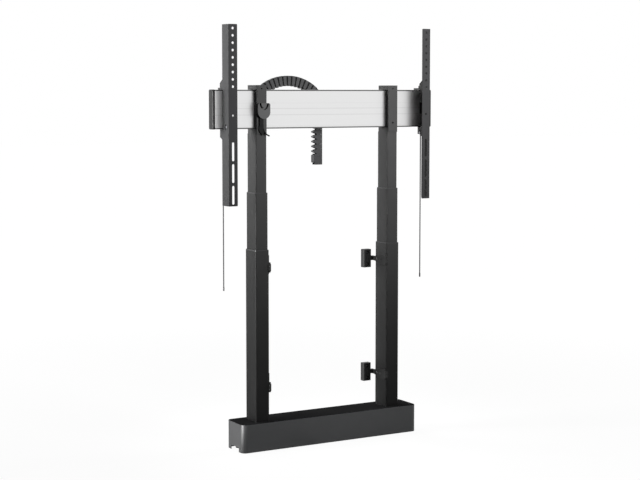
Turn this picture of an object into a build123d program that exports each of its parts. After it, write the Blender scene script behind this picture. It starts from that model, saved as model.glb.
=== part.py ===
from build123d import *
from math import asin, cos, degrees, radians, sin, tan
import os

# Motorised television lift on two three-stage telescopic columns.
# Millimetres. X runs along the crossbar, Y points to the wall, Z is up.
# The origin is on the floor under the middle of the base.
# The pose is the photographed one, with both columns part of the way up.

# Running gaps and overruns
slide_gap = 0.3
seat_gap = 0.1
bore_gap = 0.08
cut_over = 1.0

# Base cover, plate and feet
base_length = 730.0
base_depth = 126.0
base_height = 101.0
base_corner = 18.0
cover_wall = 2.0
cover_lift = 1.0
notch_width = 60.0
notch_height = 17.0
notch_round = 6.0
boss_dia = 12.0
plate_level = 18.0
plate_thick = 4.0
plate_margin = 1.0
foot_dia = 34.0
foot_pad_height = 7.0
foot_stud_dia = 12.0
foot_inset_x = 42.0
foot_inset_y = 24.0

# Column tubes
column_inset = 92.0
outer_x = 54.0
outer_y = 78.0
outer_top = 710.0
middle_top = 912.0
tube_wall = 2.0
stage_gap = 1.0
tube_corner = 5.0
corner_step = 1.0
collar_lip = 3.0
collar_skirt = 30.0
flange_x = 104.0
flange_margin = 11.0
flange_thick = 5.0
flange_corner = 8.0

# Travel of one stage from the photographed pose
stage_drop = 190.0
stage_rise = 140.0
stop_gap = 3.0

# Drive in the base
gearbox_x = 42.0
gearbox_y = 60.0
gearbox_height = 46.0
motor_dia = 42.0
motor_length = 110.0
motor_axis_lift = 29.0
motor_neck_dia = 28.0
motor_band = 10.0
motor_band_step = 1.5
saddle_x = 24.0
saddle_y = 50.0
saddle_drop = 10.5
journal_dia = 10.0
journal_depth = 24.0
screw_dia = 14.0
thrust_dia = 22.0
thrust_height = 3.0
tube_screw_bore = 16.0
tube_screw_dia = 22.0
bearing_dia = 30.0
bearing_height = 4.0
nut_dia = 32.0
nut_height = 12.0
nut_flat_share = 0.85
plug_flange = 6.0
plug_height = 26.0
screw_end = 5.0
control_x = 120.0
control_margin = 21.0
control_z = 42.0
control_round = 6.0
inlet_x = 30.0
inlet_z = 22.0
inlet_depth = 16.0
inlet_rim = 3.0
inlet_socket_share = 0.7

# Crossbar and its end caps
bar_bottom = 1139.0
bar_top = 1276.0
bar_depth = 32.0
bar_shift = -3.0
bar_half = 446.0
bar_wall = 2.5
bar_corner = 3.0
bar_line_width = 1.6
bar_line_depth = 0.8
bar_line_shares = (0.061, 0.357, 0.518, 0.657)
bar_web_shares = (0.4, 0.72)
latch_slot_in = 7.5
latch_slot_width = 5.0
latch_slot_depth = 8.0
cap_thick = 8.0
cap_over = 0.5
cap_corner = 5.0
cap_round = 2.0
cap_plug = 12.0

# Column heads
head_x = 42.0
head_y = 68.0
head_shift = -3.0
head_drop = 17.0
head_rise = 16.0
head_corner = 4.0
head_wall = 3.0
head_cap = 8.0
head_spigot = 25.0
head_hole_dia = 8.0
head_hole_rise = 16.5
head_pip_dia = 5.0
head_pip_depth = 3.0
head_pip_drop = 12.0
clamp_x = 20.0
clamp_inset = 8.0
clamp_hole_dia = 6.0

# Display strips
strip_inset = 46.0
strip_face = -66.0
strip_width = 34.0
strip_thick = 2.0
strip_rise = 224.0
strip_drop = 265.0
strip_corner = 3.0
flange_deep_upper = 48.0
flange_deep_bar = 37.0
flange_deep_lower = 51.0
ear_past_front = 20.0
ear_up = 22.0
ear_down = 27.0
ear_taper_up = 13.0
ear_taper_down = 8.0
ear_gap = 0.5
tab_rise = 48.0
tab_height = 42.0
tab_width = 12.0
tab_gap = 0.5
row_hole_dia = 9.0
row_pitch = 25.0
row_count = 9
row_first_drop = 14.0
mid_hole_dia = 7.0
mid_hole_drop = 313.0
slot_width = 9.0
slot_length = 65.0
slot_pitch = 75.0
slot_count = 3
slot_first_drop = 437.5
window_width = 16.0
window_height = 22.0
window_in = 23.0
window_up = 8.0

# Hook, latch and pull cord behind each strip
hook_inner = 2.5
hook_gap = 0.3
hook_rise = 6.4
hook_lip_drop = 12.0
hook_back = 20.0
hook_step_rise = 7.0
hook_step_front = 8.0
hook_shoulder_rise = 28.8
hook_shoulder_depth = 27.5
hook_slope_rise = 22.0
hook_slope_depth = 40.0
hook_hole_dia = 10.0
latch_drop = 2.0
latch_body_height = 33.0
latch_flat = 10.0
latch_flat_rise = 8.0
latch_slope_end = 31.0
nose_width = 4.0
nose_reach = 6.0
latch_travel = 8.0
pin_dia = 5.0
pin_inset = 13.0
pin_head_dia = 9.0
pin_head_height = 2.0
cord_dia = 4.0
cord_length = 523.0
cord_side = 2.5
cord_in = 5.0
tip_dia = 5.2
tip_length = 14.0

# Wall brackets
bracket_upper = 650.0
bracket_lower = 222.0
block_width = 32.0
block_height = 68.0
block_depth = 22.0
block_edge = 2.0
block_inset = 14.0
wall_plane = 66.0
screw_hole_dia = 6.5
screw_head_dia = 13.0
screw_head_depth = 9.0
screw_hole_spacing = 44.0
arm_thick = 6.0
arm_height = 36.0
arm_neck = 17.0
arm_full_share = 0.55
arm_lip_length = 5.0
arm_lip_thick = 3.0
arm_lip_height = 26.0

# Cable chain
link_pitch = 17.65
link_height = 31.0
link_width = 18.0
link_plate = 3.0
link_bar = 3.0
link_knuckle = 6.2
link_gap = 0.3
link_wedge = 13.5
tooth_reach = 5.5
tooth_width = 6.0
chain_front = 34.5
arch_in = 147.0
arch_rise = 4.0
arch_outer = 183.0
arch_start = -50.0
arch_links = 15
bend_links = 2
tail_groups = (4, 4, 3)
end_length = 39.7
end_block_top = 4.0
end_block_length = 28.0
anchor_x = 34.0
anchor_z = 40.0

# Hanger on the front of the left head
hanger_shift = 4.6
hanger_width = 48.5
hanger_height = 55.0
hanger_thick = 10.0
hanger_rise = 35.0
hanger_corner = 7.0
hanger_recess_x = 18.0
hanger_recess_z = 24.0
hanger_recess_depth = 8.0
hanger_peg_x = 11.5
hanger_peg_z = 16.0
stub_width = 14.7
stub_height = 30.0
stub_thick = 6.0
stub_shift = -3.5
tongue_rise = 11.0
tongue_length = 33.0
tongue_width = 18.0
tongue_thick = 4.0
tongue_sag_x = 6.0
tongue_sag_z = 8.0
tail_reach_x = 23.0
tail_reach_z = 24.0
tail_bend_x = 9.0
tail_bend_z = 16.0
tail_dia = 5.0

# Levels and places that follow from the sizes above
plate_top = plate_level + plate_thick
column_x = base_length / 2 - column_inset
middle_x = outer_x - 2 * (tube_wall + stage_gap)
middle_y = outer_y - 2 * (tube_wall + stage_gap)
inner_x = middle_x - 2 * (tube_wall + stage_gap)
inner_y = middle_y - 2 * (tube_wall + stage_gap)
middle_corner = tube_corner - corner_step
inner_corner = middle_corner - corner_step
flange_y = base_depth - 2 * flange_margin
control_y = base_depth - 2 * control_margin
gearbox_top = plate_top + gearbox_height
motor_level = plate_top + motor_axis_lift
thrust_top = gearbox_top + slide_gap + thrust_height
lower_nut_bottom = thrust_top + stage_drop + stop_gap
middle_plug_bottom = lower_nut_bottom + nut_height
middle_plug_top = middle_plug_bottom + plug_height
inner_plug_bottom = middle_plug_top + stage_drop + stop_gap
inner_plug_top = inner_plug_bottom + plug_height
upper_nut_top = inner_plug_top + nut_height
lower_screw_top = middle_plug_bottom + stage_rise + screw_end
upper_screw_top = upper_nut_top + stage_rise + screw_end
bar_front = bar_shift - bar_depth / 2
bar_back = bar_shift + bar_depth / 2
bar_height = bar_top - bar_bottom
head_bottom = bar_bottom - head_drop
head_top = bar_top + head_rise
head_front = head_shift - head_y / 2
head_rear = head_shift + head_y / 2
strip_x = bar_half - strip_inset
strip_top = bar_top + strip_rise
strip_bottom = bar_bottom - strip_drop
strip_length = strip_top - strip_bottom
strip_back = strip_face + strip_thick
tab_bottom = bar_bottom + tab_rise
strip_outer = strip_x + strip_width / 2
flange_inner = strip_outer - strip_thick
ear_y = bar_front + ear_past_front
latch_slot_front = bar_front + latch_slot_in
nose_front = latch_slot_front + (latch_slot_width - nose_width) / 2
nose_back = nose_front + nose_width
hanger_x = hanger_shift - column_x
hanger_bottom = bar_bottom + hanger_rise
tongue_top = bar_bottom + tongue_rise
latch_top = bar_bottom - latch_drop
latch_bottom = latch_top - latch_body_height
latch_foot = latch_bottom + latch_flat_rise
cord_bottom = latch_foot - cord_length
cord_x = flange_inner - slide_gap - cord_side
cord_y = nose_back - cord_in
hook_x0 = strip_x + hook_inner
hook_x1 = flange_inner - slide_gap
arch_x = arch_in - column_x
arch_z = bar_bottom + arch_rise
link_half = link_height / 2
arch_mid = arch_outer - link_half
link_step = 2 * degrees(asin(link_pitch / 2 / arch_mid))


def block(x0, x1, y0, y1, z0, z1):
    """Box between two corners."""
    size = Box(x1 - x0, y1 - y0, z1 - z0)
    return Pos((x0 + x1) / 2, (y0 + y1) / 2, (z0 + z1) / 2) * size


def bar_x(x0, x1, y, z, radius):
    """Round bar along X."""
    return Pos((x0 + x1) / 2, y, z) * Rot(0, 90, 0) * Cylinder(radius, x1 - x0)


def bar_y(x, y0, y1, z, radius):
    """Round bar along Y."""
    return Pos(x, (y0 + y1) / 2, z) * Rot(90, 0, 0) * Cylinder(radius, y1 - y0)


def bar_z(x, y, z0, z1, radius):
    """Round bar along Z."""
    return Pos(x, y, (z0 + z1) / 2) * Cylinder(radius, z1 - z0)


def side_profile(points, x0, x1):
    """Outline of (y, z) points, made into a plate from x0 to x1."""
    face = Plane.YZ * make_face(Polyline(*points, close=True))
    return Pos(x0, 0, 0) * extrude(face, x1 - x0)


def front_face(sketch, y0, y1):
    """Sketch in (x, z), made into a plate from y0 back to y1."""
    flat = Plane(origin=(0, y0, 0), x_dir=(1, 0, 0), z_dir=(0, -1, 0)) * sketch
    return extrude(flat, -(y1 - y0))


def square_tube(x, size_x, size_y, corner, z0, z1):
    """Rounded rectangular tube standing on z0."""
    outer = RectangleRounded(size_x, size_y, corner)
    inner = RectangleRounded(size_x - 2 * tube_wall, size_y - 2 * tube_wall, corner - tube_wall / 2)
    return Pos(x, 0, z0) * extrude(outer - inner, z1 - z0)


def both_sides(name, shape):
    """Right-hand piece and its mirror image, each a node of its own."""
    save(name + "_right", shape)
    save(name + "_left", mirror(shape, about=Plane.YZ))


def save_pair(name, shape):
    """Right-hand piece and its mirror image in one node."""
    save(name, Compound(children=[shape, mirror(shape, about=Plane.YZ)]))


def save(name, shape):
    """Write one named piece."""
    solids = shape.solids()
    export_step(solids[0] if len(solids) == 1 else Compound(children=list(solids)), f"parts/{name}.step")


def column_hole(gap):
    """Opening for both columns, through anything flat in the base."""
    hole = RectangleRounded(outer_x + 2 * gap, outer_y + 2 * gap, tube_corner)
    return [Pos(side * column_x, 0) * hole for side in (-1, 1)]


def base_cover():
    """Moulded cover, open below, with a cable notch at each end and four screw bosses."""
    height = base_height - cover_lift
    outline = RectangleRounded(base_length, base_depth, base_corner)
    inside = RectangleRounded(base_length - 2 * cover_wall, base_depth - 2 * cover_wall, base_corner - cover_wall)
    shell = Pos(0, 0, cover_lift) * extrude(outline, height)
    shell -= Pos(0, 0, cover_lift) * extrude(inside, height - cover_wall)
    for hole in column_hole(slide_gap):
        shell -= Pos(0, 0, base_height - cover_wall) * extrude(hole, cover_wall)
    notch = RectangleRounded(notch_width, 2 * notch_height, notch_round)
    notch_bar = extrude(Plane.YZ * notch, base_length / 2 + cut_over, both=True)
    ends = block(-base_length, base_length, -base_depth, base_depth, 0, notch_height)
    middle = block(-base_length / 2 + base_corner, base_length / 2 - base_corner,
                   -base_depth, base_depth, 0, notch_height)
    shell -= notch_bar & (ends - middle)
    for side in (-1, 1):
        for front in (-1, 1):
            x = side * (base_length / 2 - base_corner)
            y = front * (base_depth / 2 - base_corner)
            shell += bar_z(x, y, plate_top, base_height - cover_wall / 2, boss_dia / 2)
    slot_x = inlet_x + 2 * seat_gap
    slot_z = inlet_z + 2 * seat_gap
    shell -= block(-slot_x / 2, slot_x / 2, base_depth / 2 - cover_wall - cut_over, base_depth / 2 + cut_over,
                   inlet_level() - slot_z / 2, inlet_level() + slot_z / 2)
    return shell


def inlet_level():
    """Height of the middle of the mains inlet."""
    return (plate_top + base_height) / 2


def power_inlet():
    """Flanged mains inlet in the rear wall of the cover, with its open socket."""
    level = inlet_level()
    back = base_depth / 2
    body = block(-inlet_x / 2, inlet_x / 2, back - inlet_depth, back, level - inlet_z / 2, level + inlet_z / 2)
    inner = back - cover_wall
    body += block(-inlet_x / 2 - inlet_rim, inlet_x / 2 + inlet_rim, inner - inlet_rim, inner,
                  level - inlet_z / 2 - inlet_rim, level + inlet_z / 2 + inlet_rim)
    half_x = inlet_x / 2 * inlet_socket_share
    half_z = inlet_z / 2 * inlet_socket_share
    return body - block(-half_x, half_x, back - inlet_depth * inlet_socket_share, back + cut_over,
                        level - half_z, level + half_z)


def base_plate():
    """Steel plate that carries the columns and the drive."""
    cut = 2 * (cover_wall + plate_margin)
    flat = RectangleRounded(base_length - cut, base_depth - cut, base_corner - cut / 2)
    return Pos(0, 0, plate_level) * extrude(flat, plate_thick)


def levelling_feet():
    """Four rubber-soled feet under the plate."""
    feet = []
    for side in (-1, 1):
        for front in (-1, 1):
            x = side * (base_length / 2 - foot_inset_x)
            y = front * (base_depth / 2 - foot_inset_y)
            pad = bar_z(x, y, 0, foot_pad_height, foot_dia / 2)
            feet.append(pad + bar_z(x, y, foot_pad_height, plate_level, foot_stud_dia / 2))
    return Compound(children=feet)


def column_flange():
    """Flange that clamps the outer tube to the plate."""
    flat = RectangleRounded(flange_x, flange_y, flange_corner)
    hole = RectangleRounded(outer_x + 2 * seat_gap, outer_y + 2 * seat_gap, tube_corner)
    return Pos(column_x, 0, plate_top) * extrude(flat - hole, flange_thick)


def outer_tube():
    """Fixed outer tube, with the opening for the motor neck on its inner side."""
    tube = square_tube(column_x, outer_x, outer_y, tube_corner, plate_top, outer_top)
    neck = bar_x(column_x - outer_x, column_x, 0, motor_level, motor_neck_dia / 2 + slide_gap)
    return tube - neck


def glide_collar(size_x, size_y, corner, top):
    """Plastic collar: a lip on the tube's end and a thin skirt between the stages."""
    hole_x = size_x - 2 * (tube_wall + stage_gap - slide_gap)
    hole_y = size_y - 2 * (tube_wall + stage_gap - slide_gap)
    hole = RectangleRounded(hole_x, hole_y, corner - tube_wall / 2)
    lip = RectangleRounded(size_x, size_y, corner)
    skirt = RectangleRounded(size_x - 2 * tube_wall - 2 * seat_gap, size_y - 2 * tube_wall - 2 * seat_gap,
                             corner - tube_wall / 2)
    ring = Pos(column_x, 0, top) * extrude(lip - hole, collar_lip)
    return ring + Pos(column_x, 0, top - collar_skirt) * extrude(skirt - hole, collar_skirt)


def gearbox():
    """Worm gearbox in the foot of the column, with the neck to the motor."""
    body = block(column_x - gearbox_x / 2, column_x + gearbox_x / 2, -gearbox_y / 2, gearbox_y / 2,
                 plate_top, gearbox_top)
    body = fillet(body.edges().filter_by(Axis.Z), corner_step)
    body += bar_x(column_x - outer_x / 2 - slide_gap, column_x, 0, motor_level, motor_neck_dia / 2)
    return body - bar_z(column_x, 0, gearbox_top - journal_depth, gearbox_top + cut_over,
                        journal_dia / 2 + bore_gap)


def motor():
    """Motor can between the column and the middle, with two end bands."""
    end = column_x - outer_x / 2 - slide_gap
    body = bar_x(end - motor_length, end, 0, motor_level, motor_dia / 2 - motor_band_step)
    for x0 in (end - motor_length, end - motor_band):
        body += bar_x(x0, x0 + motor_band, 0, motor_level, motor_dia / 2)
    return body


def motor_saddle():
    """Saddle that holds the motor above the plate."""
    middle = column_x - outer_x / 2 - slide_gap - motor_length / 2
    top = motor_level - saddle_drop
    pad = block(middle - saddle_x / 2, middle + saddle_x / 2, -saddle_y / 2, saddle_y / 2, plate_top, top)
    return pad - bar_x(middle - saddle_x, middle + saddle_x, 0, motor_level,
                       motor_dia / 2 - motor_band_step + seat_gap)


def control_box():
    """Closed control box in the middle of the base."""
    body = block(-control_x / 2, control_x / 2, -control_y / 2, control_y / 2, plate_top, plate_top + control_z)
    return fillet(body.edges().filter_by(Axis.Z), control_round)


def lower_screw():
    """Solid screw turned by the gearbox; its thread drives the middle stage."""
    screw = bar_z(column_x, 0, gearbox_top - journal_depth, gearbox_top + slide_gap, journal_dia / 2)
    screw += bar_z(column_x, 0, gearbox_top + slide_gap, thrust_top, thrust_dia / 2)
    return screw + bar_z(column_x, 0, thrust_top, lower_screw_top, screw_dia / 2)


def bearing_floor():
    """Height of the floor of the bearing in the middle plug."""
    return middle_plug_bottom + (plug_height - bearing_height) / 2


def upper_screw():
    """Hollow screw that turns with the lower one and drives the inner stage."""
    floor = bearing_floor() + slide_gap
    screw = bar_z(column_x, 0, floor, upper_screw_top, tube_screw_dia / 2)
    screw += bar_z(column_x, 0, floor, floor + bearing_height - 2 * slide_gap, bearing_dia / 2)
    return screw - bar_z(column_x, 0, floor - cut_over, upper_screw_top + cut_over, tube_screw_bore / 2)


def nut(bottom, bore):
    """Drive nut, a disc with two flats."""
    body = bar_z(column_x, 0, bottom, bottom + nut_height, nut_dia / 2)
    flat = nut_dia * nut_flat_share
    body &= block(column_x - nut_dia, column_x + nut_dia, -flat / 2, flat / 2, bottom, bottom + nut_height)
    return body - bar_z(column_x, 0, bottom - cut_over, bottom + nut_height + cut_over, bore / 2 + bore_gap)


def plug(size_x, size_y, corner, bottom):
    """Plastic guide in the foot of a stage: a flange that fills the tube outside it, a body inside it."""
    wide = RectangleRounded(size_x + 2 * (stage_gap - slide_gap), size_y + 2 * (stage_gap - slide_gap), corner)
    fit = 2 * (tube_wall + seat_gap)
    body = RectangleRounded(size_x - fit, size_y - fit, corner - tube_wall / 2)
    shape = Pos(column_x, 0, bottom) * extrude(wide, plug_flange)
    return shape + Pos(column_x, 0, bottom + plug_flange) * extrude(body, plug_height - plug_flange)


def middle_plug():
    """Foot of the middle stage, with the bearing of the hollow screw."""
    shape = plug(middle_x, middle_y, middle_corner, middle_plug_bottom)
    floor = bearing_floor()
    shape -= bar_z(column_x, 0, middle_plug_bottom - cut_over, floor, tube_screw_bore / 2)
    shape -= bar_z(column_x, 0, floor, floor + bearing_height, bearing_dia / 2 + slide_gap)
    return shape - bar_z(column_x, 0, floor, middle_plug_top + cut_over, tube_screw_dia / 2 + slide_gap)


def inner_plug():
    """Foot of the inner stage, open for the hollow screw."""
    shape = plug(inner_x, inner_y, inner_corner, inner_plug_bottom)
    return shape - bar_z(column_x, 0, inner_plug_bottom - cut_over, inner_plug_top + cut_over,
                         tube_screw_dia / 2 + stage_gap)


def column_head():
    """Casting on the inner tube with a window that the crossbar passes through."""
    outline = RectangleRounded(head_x, head_y, head_corner)
    body = Pos(column_x, head_shift, head_bottom) * extrude(outline, head_top - head_bottom)
    fit = 2 * (tube_wall + seat_gap)
    spigot = RectangleRounded(inner_x - fit, inner_y - fit, inner_corner - tube_wall / 2)
    body += Pos(column_x, 0, head_bottom - head_spigot) * extrude(spigot, head_spigot)
    body -= block(column_x - head_x, column_x + head_x, head_front + head_wall, bar_back + seat_gap,
                  bar_bottom, bar_top + seat_gap)
    hollow = RectangleRounded(head_x - 2 * head_wall, head_y - 2 * head_wall, head_corner - head_wall / 2)
    body -= Pos(column_x, head_shift, bar_bottom) * extrude(hollow, head_top - head_cap - bar_bottom)
    body -= bar_y(column_x, head_front - cut_over, 0, bar_bottom + head_hole_rise, head_hole_dia / 2)
    pip_level = head_top - head_pip_drop
    return body - bar_y(column_x, head_front - cut_over, head_front + head_pip_depth, pip_level, head_pip_dia / 2)


def clamp_block():
    """Block between the head's front wall and the crossbar, tapped for the clamp screw."""
    front = head_front + head_wall + seat_gap
    back = bar_front - seat_gap
    body = block(column_x - clamp_x / 2, column_x + clamp_x / 2, front, back,
                 bar_bottom + clamp_inset, bar_top - clamp_inset)
    return body - bar_y(column_x, front - cut_over, back + cut_over, bar_bottom + head_hole_rise, clamp_hole_dia / 2)


def bar_section():
    """Hollow section of the crossbar in (y, z), with grooves in front and the latch slot below."""
    level = (bar_top + bar_bottom) / 2
    section = Pos(bar_shift, level) * RectangleRounded(bar_depth, bar_height, bar_corner)
    for line in bar_lines():
        section -= Pos(bar_front, line) * Rectangle(2 * bar_line_depth, bar_line_width)
    slot_y = latch_slot_front + latch_slot_width / 2
    slot = Pos(slot_y, bar_bottom) * Rectangle(latch_slot_width, 2 * latch_slot_depth)
    keep = Pos(slot_y, bar_bottom) * Rectangle(latch_slot_width + 2 * bar_wall, 2 * (latch_slot_depth + bar_wall))
    for low, high in bar_chambers():
        chamber = Pos(bar_shift, (low + high) / 2) * Rectangle(bar_depth - 2 * bar_wall, high - low)
        section -= chamber - keep
    return section - slot


def bar_lines():
    """Heights of the grooves along the front of the crossbar."""
    return [bar_bottom + bar_height * share for share in bar_line_shares]


def bar_chambers():
    """Bottom and top of the three hollow chambers of the crossbar."""
    webs = [bar_bottom + bar_wall / 2] + bar_web_levels() + [bar_top - bar_wall / 2]
    return [(low + bar_wall / 2, high - bar_wall / 2) for low, high in zip(webs, webs[1:])]


def bar_web_levels():
    """Heights of the two webs inside the crossbar."""
    return [bar_bottom + bar_height * share for share in bar_web_shares]


def crossbar():
    """Aluminium extrusion that carries the display strips."""
    return extrude(Plane.YZ * bar_section(), bar_half, both=True)


def end_cap():
    """Plastic cap with plugs that fit the chambers of the crossbar."""
    level = (bar_top + bar_bottom) / 2
    face = Pos(bar_shift, level) * RectangleRounded(bar_depth + 2 * cap_over, bar_height + 2 * cap_over, cap_corner)
    cap = Pos(bar_half, 0, 0) * extrude(Plane.YZ * face, cap_thick)
    cap = fillet(cap.faces().sort_by(Axis.X)[-1].edges(), cap_round)
    for low, high in bar_chambers()[1:]:
        fit = bar_wall + seat_gap
        cap += block(bar_half - cap_plug, bar_half, bar_front + fit, bar_back - fit,
                     low + seat_gap, high - seat_gap)
    return cap


def strip_flange_outline():
    """Side flange of the strip in (y, z): ears over and under the bar, and the tab between them."""
    upper = strip_face + flange_deep_upper
    lower = strip_face + flange_deep_lower
    inset = strip_face + flange_deep_bar
    low_ear = bar_bottom - ear_gap
    high_ear = bar_top + ear_gap
    tab = bar_front - tab_gap
    return [(strip_face, strip_bottom), (lower, strip_bottom),
            (lower, low_ear - ear_down - ear_taper_down), (ear_y, low_ear - ear_down), (ear_y, low_ear),
            (inset, low_ear), (inset, tab_bottom), (tab, tab_bottom), (tab, tab_bottom + tab_height),
            (inset, tab_bottom + tab_height), (inset, high_ear), (ear_y, high_ear),
            (ear_y, high_ear + ear_up), (upper, high_ear + ear_up + ear_taper_up),
            (upper, strip_top), (strip_face, strip_top)]


def display_strip():
    """Bent steel strip: pierced face, outer flange, and the tab that bears on the crossbar."""
    face = RectangleRounded(strip_width, strip_length, strip_corner)
    sketch = Pos(strip_x, strip_top - strip_length / 2) * face
    holes = [(row_first_drop + row_pitch * i, row_hole_dia) for i in range(row_count)]
    holes.append((mid_hole_drop, mid_hole_dia))
    for drop, dia in holes:
        sketch -= Pos(strip_x, strip_top - drop) * Circle(dia / 2)
    for i in range(slot_count):
        slot = SlotOverall(slot_length, slot_width, rotation=90)
        sketch -= Pos(strip_x, strip_top - slot_first_drop - slot_pitch * i) * slot
    strip = front_face(sketch, strip_face, strip_back)
    strip += side_profile(strip_flange_outline(), flange_inner, strip_outer)
    tab_back = bar_front - tab_gap
    strip += block(flange_inner - tab_width, flange_inner, tab_back - strip_thick, tab_back,
                   tab_bottom, tab_bottom + tab_height)
    y = strip_face + window_in
    z = bar_bottom + window_up
    window = [(y - window_width / 2, z), (y, z + window_height / 2),
              (y + window_width / 2, z), (y, z - window_height / 2)]
    return strip - side_profile(window, flange_inner - cut_over, strip_outer + cut_over)


def strip_hook():
    """Hook plate behind the strip, bent over the top of the crossbar."""
    seat = bar_top + hook_gap
    low = bar_top - hook_lip_drop
    front = bar_front - hook_gap
    over = bar_top + hook_rise
    points = [(strip_back, low), (front, low), (front, seat), (bar_back + hook_gap, seat),
              (bar_back + hook_gap, low), (hook_back, low), (hook_back, over),
              (bar_front + hook_step_front, over), (bar_front + hook_step_front, over + hook_step_rise),
              (strip_face + hook_slope_depth, bar_top + hook_slope_rise),
              (strip_face + hook_shoulder_depth, bar_top + hook_shoulder_rise),
              (strip_back, bar_top + hook_shoulder_rise)]
    hook = side_profile(points, hook_x0, hook_x1)
    middle = (strip_back + front) / 2
    return hook - bar_x(hook_x0 - cut_over, hook_x1 + cut_over, middle, seat, hook_hole_dia / 2)


def latch():
    """Sliding latch under the crossbar, with a bevelled nose and two guide slots."""
    front = strip_back + slide_gap
    nose_top = latch_top + latch_drop + nose_reach
    points = [(front, latch_bottom), (nose_back - latch_slope_end, latch_bottom),
              (nose_back - latch_flat, latch_foot), (nose_back, latch_foot), (nose_back, nose_top),
              (nose_front + nose_width / 2, nose_top), (nose_front, nose_top - nose_width / 2),
              (nose_front, latch_top), (front, latch_top)]
    body = side_profile(points, hook_x0, hook_x1)
    for y in pin_places():
        slot = pin_dia / 2 + slide_gap
        for lift in (0, -latch_travel):
            z = pin_level() + latch_travel + lift
            body -= bar_x(hook_x0 - cut_over, hook_x1 + cut_over, y, z, slot)
        body -= block(hook_x0 - cut_over, hook_x1 + cut_over, y - slot, y + slot,
                      pin_level(), pin_level() + latch_travel)
    return body


def pin_places():
    """Y of the two guide pins."""
    return (strip_back + pin_inset, nose_back - latch_slope_end / 2)


def pin_level():
    """Height of the guide pins, at the foot of the latch's slots."""
    return latch_foot + pin_dia


def latch_pins():
    """Two headed pins that guide the latch, fast in the flange."""
    pins = []
    for y in pin_places():
        pin = bar_x(hook_x0 - slide_gap, flange_inner, y, pin_level(), pin_dia / 2)
        head = hook_x0 - slide_gap
        pins.append(pin + bar_x(head - pin_head_height, head, y, pin_level(), pin_head_dia / 2))
    return Compound(children=pins)


def pull_cord():
    """Straight cord under the latch."""
    return bar_z(cord_x, cord_y, cord_bottom, latch_foot, cord_dia / 2)


def cord_tip():
    """Crimped end of the cord."""
    return bar_z(cord_x, cord_y, cord_bottom - tip_length, cord_bottom, tip_dia / 2)


def wall_block(level):
    """Spacer block that is screwed to the wall."""
    right = column_x - outer_x / 2 - block_inset
    front = wall_plane - block_depth
    body = block(right - block_width, right, front, wall_plane, level - block_height / 2, level + block_height / 2)
    body = chamfer(body.faces().sort_by(Axis.Y)[0].edges(), block_edge)
    middle = right - block_width / 2
    for step in (-1, 1):
        z = level + step * screw_hole_spacing / 2
        body -= bar_y(middle, front - cut_over, wall_plane + cut_over, z, screw_hole_dia / 2)
        body -= bar_y(middle, front - cut_over, front + screw_head_depth, z, screw_head_dia / 2)
    return body


def bracket_arm(level):
    """Arm on the inner side of the outer tube, drawn in to a neck that bends to the wall block."""
    side = column_x - outer_x / 2
    front = -outer_y / 2
    rear = outer_y / 2
    tongue = wall_plane - block_depth / 2
    full = front + outer_y * arm_full_share
    top = arm_height / 2
    neck = arm_neck / 2
    edge = Spline((full, level + top), ((full + rear) / 2, level + (top + neck) / 2), (rear, level + neck),
                  tangents=((1, 0), (1, 0)))
    outline = edge + Polyline((rear, level + neck), (tongue, level + neck), (tongue, level - neck),
                              (rear, level - neck))
    back = Spline((rear, level - neck), ((full + rear) / 2, level - (top + neck) / 2), (full, level - top),
                  tangents=((-1, 0), (-1, 0)))
    outline += back + Polyline((full, level - top), (front, level - top), (front, level + top), (full, level + top))
    arm = Pos(side - arm_thick, 0, 0) * extrude(Plane.YZ * make_face(outline), arm_thick)
    lip = arm_lip_height / 2
    arm += block(side - arm_thick, side + arm_lip_length, front - arm_lip_thick, front, level - lip, level + lip)
    gap_x = side - block_inset
    return arm + block(gap_x, side - arm_thick, tongue - arm_thick, tongue, level - neck, level + neck)


def link_outline():
    """Side plate of one link in (x, z), from its pivot to the next: knuckle ahead, socket behind."""
    near = link_gap / 2
    far = link_pitch - near
    draw = link_half * tan(radians(link_wedge))
    body = make_face(Polyline((near, 0), (near, link_half), (far, link_half), (far, 0),
                              (far - draw, -link_half), (near + draw, -link_half), close=True))
    body += Pos(link_pitch, 0) * Circle(link_knuckle)
    return body - Circle(link_knuckle + link_gap)


def chain_plates(outline):
    """The pair of side plates of a link."""
    plates = [front_face(outline, y, y + link_plate) for y in (chain_front, chain_front + link_width - link_plate)]
    return plates[0] + plates[1]


def chain_link():
    """One open link with its outer bar and its inner toothed bar."""
    link = chain_plates(link_outline())
    inset = link_knuckle - link_gap
    span = (chain_front + link_plate, chain_front + link_width - link_plate)
    link += block(inset, link_pitch - inset / 2, span[0], span[1], link_half - link_bar, link_half)
    middle = link_pitch / 2
    return link + block(middle - tooth_width / 2, middle + tooth_width / 2, chain_front, chain_front + link_width,
                        -link_half - tooth_reach, -link_half + link_bar / 2)


def chain_course():
    """Pivot and downward heading of every link: the arch, the bend and the straight tail."""
    headings = [arch_start + link_step * (i + 1 / 2) for i in range(arch_links)]
    turn = (90 - headings[-1]) / (bend_links + 1)
    headings += [headings[-1] + turn * (i + 1) for i in range(bend_links)]
    headings += [90.0] * sum(tail_groups)
    x = arch_x + arch_mid * sin(radians(arch_start))
    z = arch_z + arch_mid * cos(radians(arch_start))
    course = []
    for heading in headings:
        course.append((x, z, heading))
        x += link_pitch * cos(radians(heading))
        z -= link_pitch * sin(radians(heading))
    course.append((x, z, 90.0))
    return course


def on_chain(shape, place):
    """Move a link from the origin to its pivot and heading."""
    x, z, heading = place
    return Pos(x, 0, z) * Rot(0, heading, 0) * shape


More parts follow.
